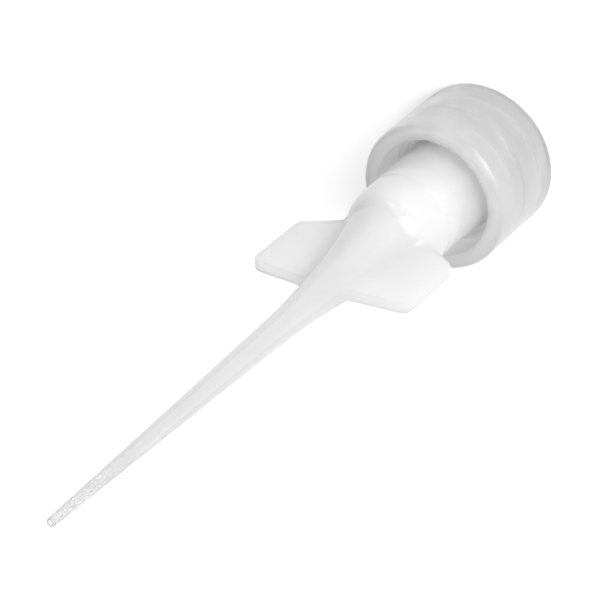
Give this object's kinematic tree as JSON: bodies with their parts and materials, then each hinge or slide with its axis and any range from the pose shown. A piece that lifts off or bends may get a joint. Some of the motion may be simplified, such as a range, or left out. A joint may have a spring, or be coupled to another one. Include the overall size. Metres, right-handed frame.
{
  "type": "dispensing needle tip",
  "caption": "Translucent plastic dispensing tip: a long fine tapered nozzle with two wings and a hollow hub, held by a spinning locking collar.",
  "frame": {"origin": "centre of the circle that the locking collar's rear rim stands on", "axes": "+Z along the nozzle's axis towards the outlet, the two wings lie in the XZ plane"},
  "size_m": [0.011, 0.01, 0.0452],
  "materials": {
    "nozzle_plastic": "natural translucent polypropylene, glossy as moulded",
    "collar_plastic": "natural translucent polypropylene, satin as moulded"
  },
  "bodies": {
    "collar": {"locking_collar": "collar_plastic"},
    "nozzle": {"nozzle": "nozzle_plastic"}
  },
  "joints": [
    {"name": "nozzle_spin", "type": "hinge", "parent": "collar", "child": "nozzle", "pos_m": [0, 0, 0.0035], "axis": [0, 0, 1], "continuous": true}
  ]
}
